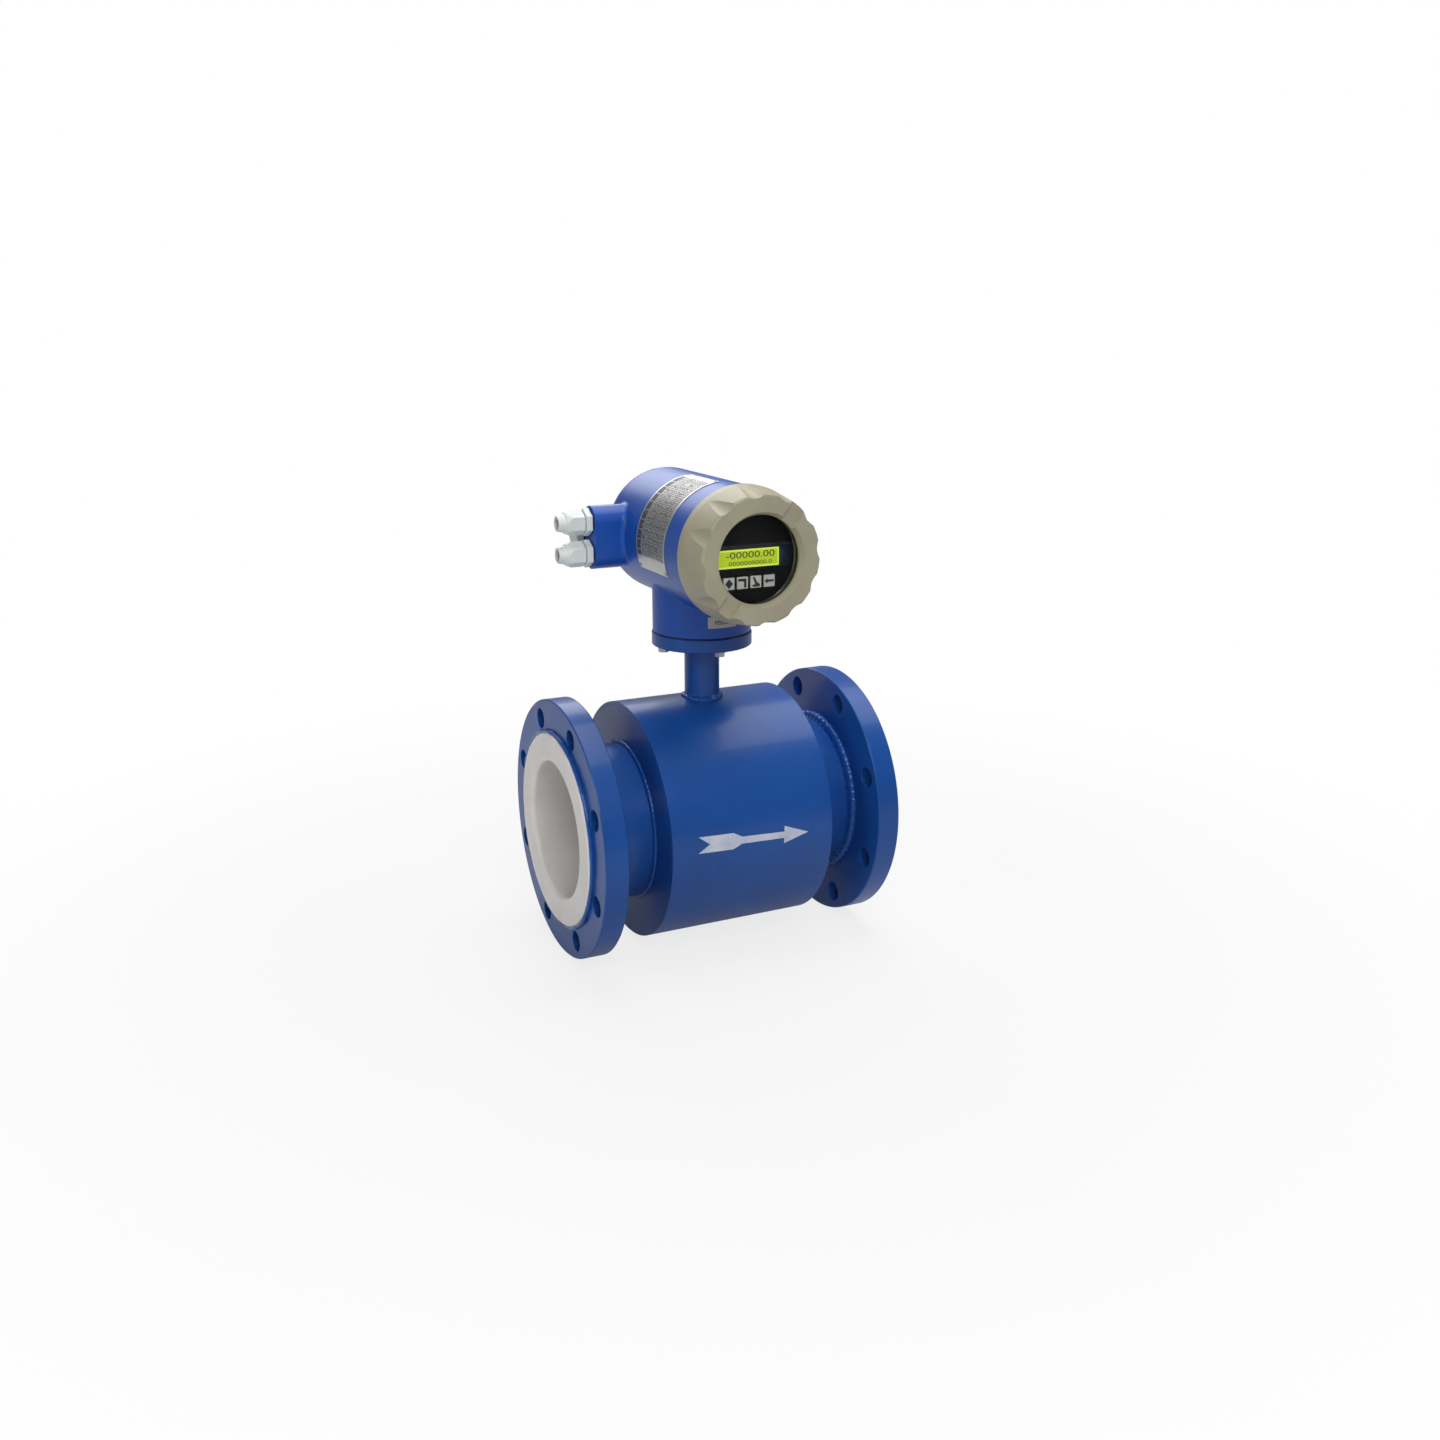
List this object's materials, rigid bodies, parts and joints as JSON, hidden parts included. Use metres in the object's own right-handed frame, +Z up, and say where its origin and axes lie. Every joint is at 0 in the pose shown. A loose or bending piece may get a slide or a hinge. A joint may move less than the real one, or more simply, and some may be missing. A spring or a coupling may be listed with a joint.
{
  "type": "electromagnetic flow meter",
  "caption": "Flanged electromagnetic flow meter: lined tube in a round coil case, with a pillar-mounted converter, screwed window cover, display, keys and cable glands.",
  "frame": {"origin": "centre of the bolting face of the inlet flange, on the tube's axis", "axes": "+X along the flow, from inlet to outlet; +Z up through the pillar; the display looks along -Y and the cable entries point along -X"},
  "size_m": [0.35, 0.281, 0.509],
  "materials": {
    "sensor_paint": "semi-gloss blue paint",
    "converter_paint": "lighter blue powder coat, semi-gloss",
    "cover_paint": "warm grey powder coat, fine texture",
    "liner": "smooth white fluoropolymer",
    "plain_steel": "plain steel",
    "fastener_steel": "zinc plated",
    "electrode_steel": "polished",
    "insulator": "cream plastic",
    "copper": "enamelled copper winding",
    "black_rubber": "black",
    "glass": "clear",
    "ring_aluminium": "turned",
    "panel_black": "black film",
    "lcd": "yellow-green lit display",
    "key_white": "white film",
    "switch_black": "black",
    "board_green": "green lacquer",
    "terminal_green": "green",
    "name_metal": "satin sheet",
    "gland_white": "white nylon"
  },
  "bodies": {
    "meter": {"measuring_tube": "sensor_paint", "inlet_flange": "sensor_paint", "outlet_flange": "sensor_paint", "liner": "liner", "coil_case": "sensor_paint", "inlet_end_plate": "sensor_paint", "outlet_end_plate": "sensor_paint", "upper_pole_shoe": "plain_steel", "lower_pole_shoe": "plain_steel", "upper_coil": "copper", "lower_coil": "copper", "return_band": "plain_steel", "front_electrode": "electrode_steel", "rear_electrode": "electrode_steel", "front_electrode_bush": "insulator", "rear_electrode_bush": "insulator", "front_electrode_nut": "fastener_steel", "rear_electrode_nut": "fastener_steel", "pillar": "sensor_paint", "mounting_plate": "sensor_paint", "lead_grommet": "black_rubber", "sensor_lead": "black_rubber", "neck_gasket": "black_rubber", "neck_bolts": "fastener_steel", "neck_washers": "fastener_steel", "converter_housing": "converter_paint", "display_panel": "panel_black", "lcd_module": "lcd", "key_switches": "switch_black", "main_board": "board_green", "power_board": "board_green", "front_standoffs": "ring_aluminium", "rear_standoffs": "ring_aluminium", "board_screws": "fastener_steel", "terminal_block": "terminal_green", "nameplate": "name_metal", "nameplate_rivets": "name_metal", "neck_label": "name_metal", "plug_washer": "black_rubber", "blanking_plug": "gland_white", "upper_gland_washer": "black_rubber", "upper_gland_body": "gland_white", "lower_gland_washer": "black_rubber", "lower_gland_body": "gland_white"},
    "cover_seal": {"cover_seal": "black_rubber"},
    "front_cover": {"front_cover": "cover_paint", "window_gasket": "black_rubber", "window_glass": "glass", "window_clamp_ring": "ring_aluminium"},
    "key_1": {"key_1": "key_white"},
    "key_2": {"key_2": "key_white"},
    "key_3": {"key_3": "key_white"},
    "key_4": {"key_4": "key_white"},
    "upper_gland_seal": {"upper_gland_seal": "black_rubber"},
    "upper_gland_nut": {"upper_gland_nut": "gland_white"},
    "lower_gland_seal": {"lower_gland_seal": "black_rubber"},
    "lower_gland_nut": {"lower_gland_nut": "gland_white"}
  },
  "joints": [
    {"name": "cover_lift", "type": "slide", "parent": "meter", "child": "cover_seal", "axis": [0, -1, 0], "range_m": [0, 0.0101]},
    {"name": "cover_turn", "type": "hinge", "parent": "cover_seal", "child": "front_cover", "pos_m": [0.17, -0.115, 0.299], "axis": [0, -1, 0], "range_deg": [0, 1800]},
    {"name": "upper_gland_lift", "type": "slide", "parent": "meter", "child": "upper_gland_seal", "axis": [-1, 0, 0], "range_m": [0, 0.0046]},
    {"name": "upper_gland_turn", "type": "hinge", "parent": "upper_gland_seal", "child": "upper_gland_nut", "pos_m": [0.05, 0.068, 0.316], "axis": [-1, 0, 0], "range_deg": [0, 1080]},
    {"name": "lower_gland_lift", "type": "slide", "parent": "meter", "child": "lower_gland_seal", "axis": [-1, 0, 0], "range_m": [0, 0.0046]},
    {"name": "lower_gland_turn", "type": "hinge", "parent": "lower_gland_seal", "child": "lower_gland_nut", "pos_m": [0.05, 0.068, 0.282], "axis": [-1, 0, 0], "range_deg": [0, 1080]},
    {"name": "key_1_press", "type": "slide", "parent": "meter", "child": "key_1", "axis": [0, 1, 0], "range_m": [0, 0.0005], "stiffness_N_per_m": 400, "springref_m": -0.0005},
    {"name": "key_2_press", "type": "slide", "parent": "meter", "child": "key_2", "axis": [0, 1, 0], "range_m": [0, 0.0005], "stiffness_N_per_m": 400, "springref_m": -0.0005},
    {"name": "key_3_press", "type": "slide", "parent": "meter", "child": "key_3", "axis": [0, 1, 0], "range_m": [0, 0.0005], "stiffness_N_per_m": 400, "springref_m": -0.0005},
    {"name": "key_4_press", "type": "slide", "parent": "meter", "child": "key_4", "axis": [0, 1, 0], "range_m": [0, 0.0005], "stiffness_N_per_m": 400, "springref_m": -0.0005}
  ],
  "couplings": [
    {"joint": "cover_lift", "follows": "cover_turn", "m_per_rad": 0.00031831},
    {"joint": "upper_gland_lift", "follows": "upper_gland_turn", "m_per_rad": 0.00023873},
    {"joint": "lower_gland_lift", "follows": "lower_gland_turn", "m_per_rad": 0.00023873}
  ]
}
